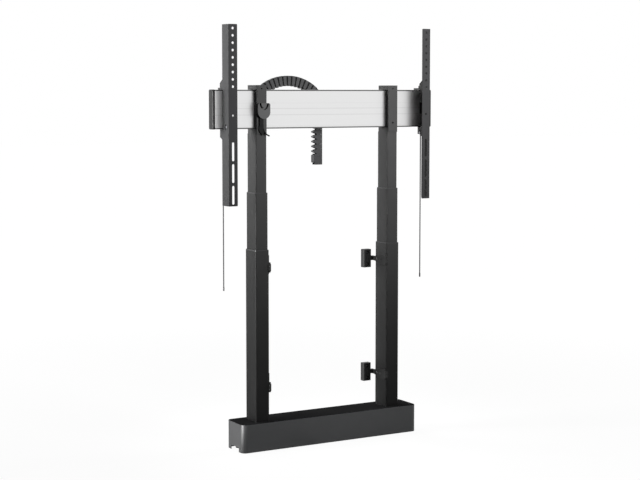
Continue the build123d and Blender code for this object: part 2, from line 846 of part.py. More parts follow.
def chain_anchor():
    """Bracket on the rear of the left head that holds the first knuckle."""
    x, z, heading = chain_course()[0]
    turn = radians(heading - link_step)
    start = (x - link_pitch * cos(turn), z + link_pitch * sin(turn), heading - link_step)
    near = link_knuckle + link_gap
    foot_back = chain_front - slide_gap
    cheek = chain_plates(link_outline() - Rectangle(2 * near, 2 * link_height))
    cheek += block(near, link_pitch - near, foot_back, chain_front + link_width, -link_half, link_half)
    shape = on_chain(cheek, start)
    low = start[1] - anchor_z / 2
    left = -column_x - anchor_x / 2
    return block(left, left + anchor_x, head_rear, foot_back, low, low + anchor_z) + shape


def chain_end():
    """End connector of the hanging tail."""
    outline = Pos(end_length / 2, 0) * Rectangle(end_length, link_height)
    outline -= Circle(link_knuckle + link_gap)
    span = (chain_front + link_plate, chain_front + link_width - link_plate)
    shape = chain_plates(outline)
    shape += block(link_knuckle * 2, end_length, span[0], span[1], link_half - link_bar, link_half)
    return shape + block(end_block_top, end_block_top + end_block_length, chain_front, chain_front + link_width,
                         -link_half - tooth_reach, -link_half + link_bar / 2)


def save_chain():
    """Fixed arch, the hinged groups of the tail and the end connector."""
    course = chain_course()
    link = chain_link()
    fixed = arch_links + bend_links
    save("chain_arch", Compound(children=[on_chain(link, place) for place in course[:fixed]]))
    first = fixed
    for number, count in enumerate(tail_groups, start=1):
        links = [on_chain(link, place) for place in course[first:first + count]]
        save(f"chain_tail_{number}", Compound(children=links))
        first += count
    save("chain_end", on_chain(chain_end(), course[-1]))
    save("chain_anchor", chain_anchor())


def hanger_shield(gap):
    """Outline of the hanger in (x, z), grown by a gap."""
    radius = hanger_width / 2
    top = hanger_bottom + hanger_height
    upper = Pos(hanger_x, (top + hanger_bottom + radius) / 2) * Rectangle(hanger_width, hanger_height - radius)
    upper = fillet(upper.vertices().group_by(Axis.Y)[-1], hanger_corner)
    return upper + Pos(hanger_x, hanger_bottom + radius) * Circle(radius + gap)


def hanger_plate():
    """Shield-shaped hanger with a rounded recess and a peg in it."""
    top = hanger_bottom + hanger_height
    front = head_front - hanger_thick
    body = front_face(hanger_shield(0), front, head_front)
    below = block(hanger_x - hanger_width, hanger_x + hanger_width, front - cut_over, head_front, hanger_bottom, top)
    recess = Pos(hanger_x, top) * Ellipse(hanger_recess_x, hanger_recess_z)
    peg = Pos(hanger_x, top) * Ellipse(hanger_peg_x, hanger_peg_z)
    return body - (front_face(recess - peg, front - cut_over, front + hanger_recess_depth) & below)


def hanger_tongue():
    """Stub under the hanger that carries a pointed tongue and a thin curved tail."""
    middle = -column_x + stub_shift
    left = middle - tongue_width / 2
    right = left + tongue_width
    low = tongue_top - tongue_length
    half = tongue_top - tongue_length / 2
    outline = (Polyline((left, half), (left, tongue_top), (right, tongue_top), (right, low))
               + ThreePointArc((right, low), (left + tongue_sag_x, low + tongue_sag_z), (left, half)))
    blade = front_face(make_face(outline), head_front - tongue_thick, head_front)
    blade += block(middle - stub_width / 2, middle + stub_width / 2, head_front - stub_thick, head_front,
                   tongue_top, tongue_top + stub_height)
    blade -= front_face(hanger_shield(seat_gap), head_front - hanger_thick, head_front + cut_over)
    start = Vector(right, head_front - tail_dia / 2 - slide_gap, half + tail_dia)
    bend = start + Vector(tail_bend_x, 0, -tail_bend_z)
    path = ThreePointArc(start, bend, start + Vector(tail_reach_x, 0, -tail_reach_z))
    ring = Plane(origin=path @ 0, z_dir=path % 0) * Circle(tail_dia / 2)
    return blade + sweep(ring, path=path)


os.makedirs("parts", exist_ok=True)

save("base_cover", base_cover())
save("base_plate", base_plate())
save("levelling_feet", levelling_feet())
save("control_box", control_box())
save("power_inlet", power_inlet())
save_pair("motor_saddles", motor_saddle())
save_pair("column_flanges", column_flange())
both_sides("outer_tube", outer_tube())
save_pair("outer_collars", glide_collar(outer_x, outer_y, tube_corner, outer_top))
both_sides("gearbox", gearbox())
both_sides("motor", motor())
both_sides("lower_screw", lower_screw())
both_sides("upper_screw", upper_screw())
save_pair("wall_blocks", Compound(children=[wall_block(level) for level in (bracket_upper, bracket_lower)]))
both_sides("bracket_arms", Compound(children=[bracket_arm(level) for level in (bracket_upper, bracket_lower)]))

middle_tube_bottom = middle_plug_bottom + plug_flange
both_sides("middle_tube", square_tube(column_x, middle_x, middle_y, middle_corner, middle_tube_bottom, middle_top))
both_sides("middle_collar", glide_collar(middle_x, middle_y, middle_corner, middle_top))
both_sides("middle_plug", middle_plug())
both_sides("lower_nut", nut(lower_nut_bottom, screw_dia))

inner_tube_bottom = inner_plug_bottom + plug_flange
both_sides("inner_tube", square_tube(column_x, inner_x, inner_y, inner_corner, inner_tube_bottom, head_bottom))
both_sides("inner_plug", inner_plug())
both_sides("upper_nut", nut(inner_plug_top, tube_screw_dia))
both_sides("column_head", column_head())
save("crossbar", crossbar())
save_pair("clamp_blocks", clamp_block())
save_pair("end_caps", end_cap())

both_sides("display_strip", display_strip())
both_sides("strip_hook", strip_hook())
both_sides("latch", latch())
both_sides("latch_pins", latch_pins())
both_sides("pull_cord", pull_cord())
both_sides("cord_tip", cord_tip())

save_chain()
save("hanger_plate", hanger_plate())
save("hanger_tongue", hanger_tongue())
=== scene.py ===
import bpy
import bmesh
from math import cos, pi, radians, sin
from mathutils import Matrix, Vector


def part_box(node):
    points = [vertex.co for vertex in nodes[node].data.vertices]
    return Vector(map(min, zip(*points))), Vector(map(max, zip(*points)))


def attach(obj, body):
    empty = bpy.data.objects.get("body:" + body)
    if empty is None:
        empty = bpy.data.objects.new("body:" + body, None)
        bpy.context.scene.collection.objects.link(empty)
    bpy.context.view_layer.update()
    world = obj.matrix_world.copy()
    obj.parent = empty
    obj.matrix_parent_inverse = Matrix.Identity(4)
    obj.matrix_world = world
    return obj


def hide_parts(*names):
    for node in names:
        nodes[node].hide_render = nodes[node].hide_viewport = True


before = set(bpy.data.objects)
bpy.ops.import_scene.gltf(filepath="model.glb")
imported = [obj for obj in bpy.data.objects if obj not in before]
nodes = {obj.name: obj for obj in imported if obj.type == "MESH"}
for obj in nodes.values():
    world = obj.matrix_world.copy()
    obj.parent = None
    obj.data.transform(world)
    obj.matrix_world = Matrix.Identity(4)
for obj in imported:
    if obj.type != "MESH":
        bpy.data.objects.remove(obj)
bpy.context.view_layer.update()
scene = bpy.context.scene
SIDES = (("left", -1), ("right", 1))

# Camera, fitted to the photograph
CAMERA_DIP, CAMERA_TURN = 4.553, -30.310
camera_data = bpy.data.cameras.new("camera")
camera_data.lens = 85.635
camera_data.sensor_width = 36.0
camera_data.shift_y = -0.04
camera_data.clip_end = 100.0
camera = bpy.data.objects.new("camera", camera_data)
camera.location = (-2.7870, -4.7408, 1.2638)
camera.rotation_euler = (radians(90 - CAMERA_DIP), 0, radians(CAMERA_TURN))
scene.collection.objects.link(camera)
scene.camera = camera
scene.view_settings.view_transform = "Standard"


# Shader nodes
def node_tree(name):
    """A new material, its nodes, its shader and the object coordinates."""
    mat = bpy.data.materials.new(name)
    mat.use_nodes = True
    tree = mat.node_tree
    coord = tree.nodes.new("ShaderNodeTexCoord")
    coord.name = "Texture Coordinate"
    return mat, tree, tree.nodes["Principled BSDF"], coord.outputs["Object"]


def mapped(tree, vector, scale):
    """Coordinates stretched along the axes."""
    node = tree.nodes.new("ShaderNodeMapping")
    node.inputs["Scale"].default_value = scale
    tree.links.new(vector, node.inputs["Vector"])
    return node.outputs["Vector"]


def noise(tree, vector, scale, detail=2.0):
    """Noise from 0 to 1, most of it near the middle."""
    node = tree.nodes.new("ShaderNodeTexNoise")
    node.inputs["Scale"].default_value = scale
    node.inputs["Detail"].default_value = detail
    tree.links.new(vector, node.inputs["Vector"])
    return node.outputs["Fac"]


def spread(tree, value, low, high, start=0.3, end=0.7):
    """The value's range from start to end, turned into the range from low to high and held there."""
    node = tree.nodes.new("ShaderNodeMapRange")
    node.inputs["From Min"].default_value = start
    node.inputs["From Max"].default_value = end
    node.inputs["To Min"].default_value = low
    node.inputs["To Max"].default_value = high
    tree.links.new(value, node.inputs["Value"])
    return node.outputs["Result"]


def math_node(tree, kind, *values):
    """A Math node; its inputs are numbers or sockets."""
    node = tree.nodes.new("ShaderNodeMath")
    node.operation = kind
    for socket, value in zip(node.inputs, values):
        if isinstance(value, (int, float)):
            socket.default_value = value
        else:
            tree.links.new(value, socket)
    return node.outputs[0]


def axis_of(tree, vector, number):
    """One coordinate of a vector."""
    node = tree.nodes.new("ShaderNodeSeparateXYZ")
    tree.links.new(vector, node.inputs[0])
    return node.outputs[number]


def normal_axis(tree, number):
    """One coordinate of the surface's normal, in the object's axes."""
    return axis_of(tree, tree.nodes["Texture Coordinate"].outputs["Normal"], number)


def shade(tree, shader, color, factor):
    """Base colour: a colour, given as numbers or as a socket, times a grey factor."""
    node = tree.nodes.new("ShaderNodeMix")
    node.data_type = "RGBA"
    node.blend_type = "MULTIPLY"
    node.inputs["Factor"].default_value = 1.0
    if isinstance(color, tuple):
        node.inputs["A"].default_value = (*color, 1)
    else:
        tree.links.new(color, node.inputs["A"])
    grey = tree.nodes.new("ShaderNodeCombineColor")
    for channel in ("Red", "Green", "Blue"):
        tree.links.new(factor, grey.inputs[channel])
    tree.links.new(grey.outputs["Color"], node.inputs["B"])
    tree.links.new(node.outputs["Result"], shader.inputs["Base Color"])


def darken(mat, factor):
    """The base colour that a material has already, times a grey factor."""
    shader = mat.node_tree.nodes["Principled BSDF"]
    color = shader.inputs["Base Color"].links[0].from_socket
    shade(mat.node_tree, shader, color, factor)


def bump(tree, shader, height, strength, distance):
    """Relief from a height."""
    node = tree.nodes.new("ShaderNodeBump")
    node.inputs["Strength"].default_value = strength
    node.inputs["Distance"].default_value = distance
    tree.links.new(height, node.inputs["Height"])
    tree.links.new(node.outputs["Normal"], shader.inputs["Normal"])


def band(tree, value, middle, half, soft):
    """1 on a band of the value, 0 away from it."""
    away = math_node(tree, "ABSOLUTE", math_node(tree, "SUBTRACT", value, middle))
    return spread(tree, away, 1.0, 0.0, half - soft, half + soft)


# Kinds of surface. Scales are those of the noise, swings say how far a tone or a roughness strays
PATCH_SCALE, PATCH_DETAIL, PATCH_SWING = 9.0, 3.0, 0.06
CLOUD_SCALE, CLOUD_DETAIL, CLOUD_SWING = 26.0, 3.0, 0.03
GRAIN_SWING = 0.04
BUMP_STRENGTH = 0.35


def grained(name, color, rough, grain, metallic=0.0, spec=0.5):
    """Coated metal or moulded plastic: soft patches of tone, and a fine grain, given as scale and height."""
    mat, tree, shader, vector = node_tree(name)
    shader.inputs["Metallic"].default_value = metallic
    shader.inputs["Specular IOR Level"].default_value = spec
    patches = noise(tree, vector, PATCH_SCALE, PATCH_DETAIL)
    shade(tree, shader, color, spread(tree, patches, 1 - PATCH_SWING, 1 + PATCH_SWING))
    grain_scale, grain_height = grain
    fine = noise(tree, vector, grain_scale)
    cloud = noise(tree, vector, CLOUD_SCALE, CLOUD_DETAIL)
    both = math_node(tree, "ADD", spread(tree, fine, -GRAIN_SWING, GRAIN_SWING),
                     spread(tree, cloud, rough - CLOUD_SWING, rough + CLOUD_SWING))
    tree.links.new(both, shader.inputs["Roughness"])
    bump(tree, shader, fine, BUMP_STRENGTH, grain_height)
    return mat


# Upward part of the normal from which, and up to which, a face turns into the cover's top, which gets painted
# shade
SHADED_TOP_START, SHADED_TOP_END = 0.75, 0.97
COVER_SWING = 0.05
COVER_GRAIN = (1100.0, 0.0001)


def cover_with_shaded_top(name, side_color, shaded_top_color, rough, coat_rough):
    """Moulded cover: satin upright faces, and a dull flat top with painted shade, a much darker colour there
    because its top lies in shade.
    """
    mat, tree, shader, vector = node_tree(name)
    shader.inputs["Specular IOR Level"].default_value = 0.0
    shader.inputs["Coat Roughness"].default_value = coat_rough
    shader.inputs["Coat IOR"].default_value = 1.42
    # mask of the flat top, for its painted shade and for its lack of coat
    flat = spread(tree, normal_axis(tree, 2), 0.0, 1.0, SHADED_TOP_START, SHADED_TOP_END)
    patches = noise(tree, vector, PATCH_SCALE, PATCH_DETAIL)
    mix = tree.nodes.new("ShaderNodeMix")
    mix.data_type = "RGBA"
    mix.inputs["A"].default_value = (*side_color, 1)
    mix.inputs["B"].default_value = (*shaded_top_color, 1)
    tree.links.new(flat, mix.inputs["Factor"])
    shade(tree, shader, mix.outputs["Result"], spread(tree, patches, 1 - COVER_SWING, 1 + COVER_SWING))
    grain_scale, grain_height = COVER_GRAIN
    fine = noise(tree, vector, grain_scale)
    tree.links.new(spread(tree, fine, rough - GRAIN_SWING, rough + GRAIN_SWING), shader.inputs["Roughness"])
    tree.links.new(spread(tree, flat, 1.0, 0.0, 0.0, 1.0), shader.inputs["Coat Weight"])
    bump(tree, shader, fine, BUMP_STRENGTH, grain_height)
    return mat


# Place in x times the normal's x, for the painted shade on inward faces: dark below the start, the material's
# own tone above the end
INNER_SHADE_START, INNER_SHADE_END = -0.3, -0.1
# Part of the normal that looks to the front or the rear, for the painted shade on walls: dark below the start,
# its own tone above the end
WALL_SHADE_START, WALL_SHADE_END = 0.6, 0.9


def paint_inner_shade(mat, tone):
    """Painted shade: a dark tone on the faces of a strip that look to the middle of the lift, which lie in
    shadow.
    """
    tree = mat.node_tree
    place = axis_of(tree, tree.nodes["Texture Coordinate"].outputs["Object"], 0)
    inward = math_node(tree, "MULTIPLY", place, normal_axis(tree, 0))
    darken(mat, spread(tree, inward, tone, 1.0, INNER_SHADE_START, INNER_SHADE_END))


def paint_wall_shade(mat, tone):
    """Painted shade: a dark tone on the walls of a plate that faces the front, which lie in shadow."""
    tree = mat.node_tree
    facing_front = math_node(tree, "ABSOLUTE", normal_axis(tree, 1))
    darken(mat, spread(tree, facing_front, tone, 1.0, WALL_SHADE_START, WALL_SHADE_END))


# Painted lines along the crossbar, a painted dark reflection on its rounded top and bottom edges and painted
# shade in its grooves: height, half width and tone of each
BAR_PAINTED_LINES = (
    (1.2736, 0.0021, 0.16), (1.1413, 0.0021, 0.16), (1.2290, 0.0010, 0.96), (1.2100, 0.0014, 0.90),
    (1.1879, 0.0014, 0.90), (1.1474, 0.0010, 0.96),
)
BAR_PAINTED_LINE_SOFT = 0.0006
BAR_COLOR, BAR_SWING = (0.82, 0.82, 0.82), 0.01
BAR_ROUGH = (0.34, 0.40)
BAR_STRETCH = (0.01, 1, 1)
BAR_GRAIN = (900.0, 0.00001)


def bar_metal():
    """Satin anodised extrusion: a draw grain along it, a painted dark reflection along its rounded top and
    bottom edges, and painted shade in its grooves.
    """
    mat, tree, shader, vector = node_tree("bar_aluminium")
    shader.inputs["Metallic"].default_value = 1.0
    level = axis_of(tree, vector, 2)
    grain_scale, grain_height = BAR_GRAIN
    streak = noise(tree, mapped(tree, vector, BAR_STRETCH), grain_scale)
    tone = spread(tree, streak, 1 - BAR_SWING, 1 + BAR_SWING)
    # painted dark reflection at the edges, painted shade in the grooves
    for middle, half, depth in BAR_PAINTED_LINES:
        line = spread(tree, band(tree, level, middle, half, BAR_PAINTED_LINE_SOFT), 1.0, depth, 0.0, 1.0)
        tone = math_node(tree, "MULTIPLY", tone, line)
    shade(tree, shader, BAR_COLOR, tone)
    tree.links.new(spread(tree, streak, *BAR_ROUGH), shader.inputs["Roughness"])
    bump(tree, shader, streak, BUMP_STRENGTH, grain_height)
    return mat


# Materials
PAINT = (1400.0, 0.00008)
PLASTIC = (2000.0, 0.00005)
FINE_PLASTIC = (2200.0, 0.00005)
TURNED_METAL = (900.0, 0.00003)

powder = grained("powder_black", (0.050, 0.050, 0.050), 0.50, PAINT, spec=0.05)
head_mat = grained("head_black", (0.046, 0.046, 0.046), 0.50, PAINT, spec=0.08)
strip_mat = grained("strip_black", (0.033, 0.033, 0.034), 0.45, PAINT, spec=0.15)
# painted shade on the strips' inward faces
paint_inner_shade(strip_mat, 0.12)
# the second colour is painted shade on the cover's flat top
cover_mat = cover_with_shaded_top("cover_black", (0.205, 0.209, 0.216), (0.030, 0.030, 0.031), 0.8, 0.52)
bracket_mat = grained("bracket_black", (0.016, 0.016, 0.016), 0.45, PAINT, spec=0.3)
cap_mat = grained("cap_black", (0.014, 0.014, 0.014), 0.40, FINE_PLASTIC, spec=0.2)
moulded = grained("moulded_black", (0.028, 0.028, 0.029), 0.40, FINE_PLASTIC, spec=0.4)
nylon = grained("chain_nylon", (0.042, 0.042, 0.043), 0.45, PLASTIC, spec=0.2)
hanger_mat = grained("hanger_plastic", (0.076, 0.076, 0.077), 0.50, (2000.0, 0.00006), spec=0.08)
# painted shade on the hanger's side walls
paint_wall_shade(hanger_mat, 0.05)
latch_mat = grained("latch_plastic", (0.020, 0.020, 0.021), 0.38, PLASTIC, spec=0.3)
tongue_mat = grained("tongue_black", (0.009, 0.009, 0.009), 0.50, PLASTIC, spec=0.12)
rubber = grained("foot_rubber", (0.018, 0.018, 0.018), 0.75, (900.0, 0.00015))
satin = bar_metal()
zinc = grained("zinc_sheet", (0.42, 0.43, 0.45), 0.40, (600.0, 0.00004), metallic=1.0)
casting = grained("gear_casting", (0.50, 0.51, 0.52), 0.50, (500.0, 0.0002), metallic=1.0)
motor_mat = grained("motor_can", (0.34, 0.34, 0.36), 0.35, (700.0, 0.00003), metallic=1.0)
screw_mat = grained("screw_steel", (0.58, 0.58, 0.60), 0.30, TURNED_METAL, metallic=1.0)
brass = grained("nut_brass", (0.70, 0.54, 0.26), 0.30, TURNED_METAL, metallic=1.0)
pin_mat = grained("pin_steel", (0.30, 0.30, 0.32), 0.34, (1200.0, 0.00002), metallic=1.0)
# black for painted shade, in the gaps of the arch and on the sides of the column heads
painted_shade_mat = grained("painted_shade_black", (0.004, 0.004, 0.004), 0.60, (2000.0, 0.00002), spec=0.1)
black_bolt = grained("bolt_black", (0.012, 0.012, 0.013), 0.30, (1800.0, 0.00003))

# Looks of the CAD nodes
LOOKS = {
    "base_cover": cover_mat, "base_plate": zinc, "levelling_feet": rubber, "control_box": moulded,
    "power_inlet": moulded, "motor_saddles": moulded, "column_flanges": zinc, "outer_collars": moulded,
    "wall_blocks": bracket_mat, "crossbar": satin, "end_caps": cap_mat, "chain_anchor": nylon,
    "chain_arch": nylon, "chain_tail_1": nylon, "chain_tail_2": nylon, "chain_tail_3": nylon,
    "chain_end": nylon, "hanger_plate": hanger_mat, "hanger_tongue": tongue_mat, "clamp_blocks": bracket_mat,
}
PAIRS = {
    "outer_tube": powder, "middle_tube": powder, "inner_tube": powder, "column_head": head_mat,
    "gearbox": casting, "motor": motor_mat, "lower_screw": screw_mat, "upper_screw": screw_mat,
    "bracket_arms": bracket_mat, "middle_collar": moulded, "middle_plug": moulded, "inner_plug": moulded,
    "lower_nut": brass, "upper_nut": brass, "display_strip": strip_mat, "strip_hook": bracket_mat,
    "latch": latch_mat, "latch_pins": pin_mat, "pull_cord": moulded, "cord_tip": latch_mat,
}
for name, look in PAIRS.items():
    for side, _ in SIDES:
        LOOKS[f"{name}_{side}"] = look
for name, look in LOOKS.items():
    slots = nodes[name].data.materials
    if not slots:
        slots.append(look)
    for index in range(len(slots)):
        slots[index] = look

# Pull cords: place, ends and radius. Their braid: strands, lay in radii, tones, the part of the weave over
# which the tone changes, and strength and height of the relief
CORD_Y, CORD_X, CORD_TOP, CORD_LOW, CORD_R = -0.012, 0.4122, 1.112, 0.589, 0.002
BRAID_STRANDS, BRAID_LAY = 4.0, 3
BRAID_COLOR, BRAID_DARK, BRAID_LIGHT = (0.030, 0.030, 0.031), 0.55, 1.15
BRAID_START, BRAID_END = -0.4, 1.0
BRAID_RELIEF = (0.6, 0.0004)


def cord_material(x, y, radius):
    """Braided cord: two families of strands that wind round the cord's own line."""
    mat, tree, shader, vector = node_tree("braided_cord")
    shader.inputs["Roughness"].default_value = 0.8
    right, back, up = [axis_of(tree, vector, number) for number in range(3)]
    angle = math_node(tree, "ARCTAN2", math_node(tree, "SUBTRACT", back, y),
                      math_node(tree, "SUBTRACT", right, x))
    around = math_node(tree, "MULTIPLY", angle, BRAID_STRANDS)
    along = math_node(tree, "MULTIPLY", up, 2 * pi / (radius * BRAID_LAY))
    first = math_node(tree, "SINE", math_node(tree, "ADD", along, around))
    second = math_node(tree, "SINE", math_node(tree, "SUBTRACT", along, around))
    weave = math_node(tree, "MAXIMUM", first, second)
    shade(tree, shader, BRAID_COLOR, spread(tree, weave, BRAID_DARK, BRAID_LIGHT, BRAID_START, BRAID_END))
    bump(tree, shader, weave, *BRAID_RELIEF)
    return mat


def curve_piece(name, points, radius, material):
    """A round, capped curve through the points."""
    data = bpy.data.curves.new(name, "CURVE")
    data.dimensions = "3D"
    data.bevel_depth = radius
    data.bevel_resolution = 6
    data.resolution_u = 24
    data.use_fill_caps = True
    spline = data.splines.new("NURBS")
    spline.points.add(len(points) - 1)
    for point, place in zip(spline.points, points):
        point.co = (*place, 1)
    spline.order_u = 3
    spline.use_endpoint_u = True
    data.materials.append(material)
    piece = bpy.data.objects.new(name, data)
    scene.collection.objects.link(piece)
    return piece


for side, sign in SIDES:
    x = sign * CORD_X
    middle = (CORD_TOP + CORD_LOW) / 2
    line = curve_piece(f"cord_{side}", [(x, CORD_Y, CORD_TOP), (x, CORD_Y, middle), (x, CORD_Y, CORD_LOW)],
                       CORD_R, cord_material(x, CORD_Y, CORD_R))
    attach(line, f"latch_{side}")
    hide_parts(f"pull_cord_{side}")

# Small pieces in mesh code. Sides of round forms, and the way to the front
ROUND = 24
FORWARD = (0, -1, 0)


def prism(mesh, points, low, high, place=Matrix()):
    """A closed prism: an outline in x and z, from y low to y high, moved by a matrix."""
    rings = [[mesh.verts.new(place @ Vector((x, y, z))) for x, z in points] for y in (low, high)]
    mesh.faces.new(rings[0])
    mesh.faces.new(rings[1][::-1])
    for i in range(len(points)):
        j = (i + 1) % len(points)
        mesh.faces.new((rings[0][j], rings[0][i], rings[1][i], rings[1][j]))


def turned(mesh, profile, place, sides=ROUND):
    """A closed turned form: (radius, height) pairs round the local z axis, moved by a matrix."""
    rings = [[mesh.verts.new(place @ Vector((x, y, height))) for x, y in circle(radius, sides)]
             for radius, height in profile]
    mesh.faces.new(rings[0][::-1])
    mesh.faces.new(rings[-1])
    for first, second in zip(rings, rings[1:]):
        for i in range(sides):
            j = (i + 1) % sides
            mesh.faces.new((first[i], first[j], second[j], second[i]))


def ring(mesh, outside, inside, low, high, place):
    """A closed ring between two outlines in x and y with equally many points, from z low to z high."""
    loops = [[mesh.verts.new(place @ Vector((x, y, z))) for x, y in line] for line in (outside, inside)
             for z in (low, high)]
    outer_low, outer_high, inner_low, inner_high = loops
    for i in range(len(outside)):
        j = (i + 1) % len(outside)
        mesh.faces.new((outer_low[i], outer_low[j], outer_high[j], outer_high[i]))
        mesh.faces.new((inner_low[j], inner_low[i], inner_high[i], inner_high[j]))
        mesh.faces.new((outer_high[i], outer_high[j], inner_high[j], inner_high[i]))
        mesh.faces.new((outer_low[j], outer_low[i], inner_low[i], inner_low[j]))


def rectangle(left, right, low, high):
    """Corners of an upright rectangle, or of one that lies in x and y."""
    return [(left, low), (right, low), (right, high), (left, high)]


def circle(radius, sides=ROUND):
    """Points of a circle."""
    return [(radius * cos(2 * pi * i / sides), radius * sin(2 * pi * i / sides)) for i in range(sides)]


def hexagon(flat):
    """As many points as a circle has, along a hexagon of a given width across its flats."""
    line = []
    for i in range(ROUND):
        angle = 2 * pi * i / ROUND
        reach = flat / 2 / cos(angle % (pi / 3) - pi / 6)
        line.append((reach * cos(angle), reach * sin(angle)))
    return line


def across(sign):
    """Turns a prism so that its outline lies in y and z and its depth runs out along x on one side."""
    return Matrix(((0, sign, 0, 0), (1, 0, 0, 0), (0, 0, 1, 0), (0, 0, 0, 1)))


def facing(x, y, z, direction):
    """Place of a turned form whose local z axis points along a direction."""
    return Matrix.Translation((x, y, z)) @ Vector(direction).to_track_quat("Z", "Y").to_matrix().to_4x4()


def finish_piece(name, mesh, material, body):
    """Turn the mesh into a piece that rides on a body."""
    bmesh.ops.recalc_face_normals(mesh, faces=mesh.faces)
    data = bpy.data.meshes.new(name)
    mesh.to_mesh(data)
    mesh.free()
    data.materials.append(material)
    piece = bpy.data.objects.new(name, data)
    scene.collection.objects.link(piece)
    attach(piece, body)


# Profile of a screw head: shares of its radius and of its height
HEAD_SHARES = ((1, 0), (1, 0.35), (0.85, 0.8), (0.62, 1), (0.45, 1), (0.45, 0.45), (0.27, 0.35))


def socket_screw(mesh, place, radius, height):
    """Button head with a bevelled rim and a narrowing socket, seated on the local plane z = 0."""
    turned(mesh, [(radius * wide, height * high) for wide, high in HEAD_SHARES], place)


# Gaps between the links of the arch, which thin black sheets of painted shade fill: middle, radius, first
# angle and step of the arch, depth of the links, half their height, half a gap at its outer and inner end,
# rims that a gap leaves free, lap of the outer rim's pieces, and thickness of the plates
ARCH_X, ARCH_Z, ARCH_R = -0.126, 1.143, 0.1675
ARCH_START, ARCH_STEP, ARCH_JOINTS = -50.0, 6.0426, 15
CHAIN_Y = (0.0345, 0.0525)
LINK_HALF = 0.0155
GAP_OUTER, GAP_INNER = 0.0031, 0.0023
RIM_OUTER, RIM_INNER = 0.0014, 0.0006
RIM_LAP = 0.0006
SKIN = 0.0002


def arch_gap_shade():
    """Thin black sheets of painted shade in the radial gaps between the spread links and along the outer edge
    of the arch, on both side faces.
    """
    mesh = bmesh.new()
    reach_out, reach_in = LINK_HALF - RIM_OUTER, LINK_HALF - RIM_INNER
    half_step = radians(ARCH_STEP / 2)
    half = ARCH_R * sin(half_step) + RIM_LAP
    gap = [(-GAP_OUTER, reach_out), (GAP_OUTER, reach_out), (GAP_INNER, -reach_in), (-GAP_INNER, -reach_in)]
    rim = rectangle(-2 * half, 0, reach_out, LINK_HALF)
    for y in (CHAIN_Y[0] - SKIN, CHAIN_Y[1]):
        for i in range(1, ARCH_JOINTS + 1):
            turn = radians(ARCH_START + ARCH_STEP * i)
            joint = Matrix.Translation((ARCH_X + ARCH_R * sin(turn), 0, ARCH_Z + ARCH_R * cos(turn)))
            prism(mesh, gap, y, y + SKIN, joint @ Matrix.Rotation(turn, 4, "Y"))
            prism(mesh, rim, y, y + SKIN, joint @ Matrix.Rotation(turn - half_step, 4, "Y"))
    finish_piece("arch_gap_shade", mesh, painted_shade_mat, "carriage")


arch_gap_shade()

# Rear edge of each strip's flange, above and below its bearing tab
FLANGE_BACK, WEB_GAP, STRIP_THICK = -0.029, 0.0005, 0.002
TAB_LOW, TAB_HIGH = 1.187, 1.229


def strip_webs(side, sign):
    """The two stretches of the strip's flange that come close to the crossbar."""
    low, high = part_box("crossbar")
    outer = max(abs(corner[0]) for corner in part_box(f"display_strip_{side}"))
    mesh = bmesh.new()
    for bottom, top in ((low[2] - WEB_GAP, TAB_LOW), (TAB_HIGH, high[2] + WEB_GAP)):
        outline = rectangle(FLANGE_BACK, low[1] - WEB_GAP, bottom, top)
        prism(mesh, outline, outer - STRIP_THICK, outer, across(sign))
    finish_piece(f"strip_web_{side}", mesh, strip_mat, f"strip_{side}")


for side, sign in SIDES:
    strip_webs(side, sign)

# Lug on each latch, seen through the window in the strip's flange, its rivet, and the ferrule of the cord
LATCH_DROP, LUG_FRONT, LUG_BACK, LUG_TOP = 0.002, -0.053, -0.033, 1.160
LUG_REAR_RISE, LUG_SLOPE, LUG_INSET = 0.013, 0.007, 0.002
RIVET_Z, RIVET = 1.147, ((0.0045, 0), (0.0045, 0.0001), (0.0042, 0.0002))
FERRULE_R, FERRULE_BORE, FERRULE_LENGTH = 0.0026, 0.00205, 0.005


def latch_lug(side, sign):
    """Upright lug on the latch, with a slope at its rear, that reaches up beside the crossbar."""
    low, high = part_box(f"latch_{side}")
    inner, outer = sorted((abs(low[0]), abs(high[0])))
    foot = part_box("crossbar")[0][2] - LATCH_DROP
    outline = [(LUG_FRONT, foot), (LUG_BACK, foot), (LUG_BACK, foot + LUG_REAR_RISE),
               (LUG_BACK - LUG_SLOPE, LUG_TOP), (LUG_FRONT, LUG_TOP)]
    mesh = bmesh.new()
    prism(mesh, outline, inner + LUG_INSET, outer, across(sign))
    finish_piece(f"latch_lug_{side}", mesh, latch_mat, f"latch_{side}")
    mesh = bmesh.new()
    turned(mesh, RIVET, facing(sign * outer, (LUG_FRONT + LUG_BACK) / 2, RIVET_Z, (sign, 0, 0)))
    finish_piece(f"latch_rivet_{side}", mesh, pin_mat, f"latch_{side}")


def cord_ferrule(side, sign):
    """Short sleeve round the upper end of the pull cord."""
    mesh = bmesh.new()
    ring(mesh, circle(FERRULE_R), circle(FERRULE_BORE), CORD_TOP - FERRULE_LENGTH, CORD_TOP,
         Matrix.Translation((sign * CORD_X, CORD_Y, 0)))
    finish_piece(f"cord_ferrule_{side}", mesh, pin_mat, f"latch_{side}")


for side, sign in SIDES:
    latch_lug(side, sign)
    cord_ferrule(side, sign)

# Set screws in the clamp blocks
COLUMN_X, CLAMP_Y, CLAMP_Z = 0.273, -0.0245, 1.1555
SET_SCREW = ((0.0029, 0), (0.0029, 0.0075), (0.0025, 0.008), (0.0015, 0.008), (0.0015, 0.0045), (0.001, 0.004))

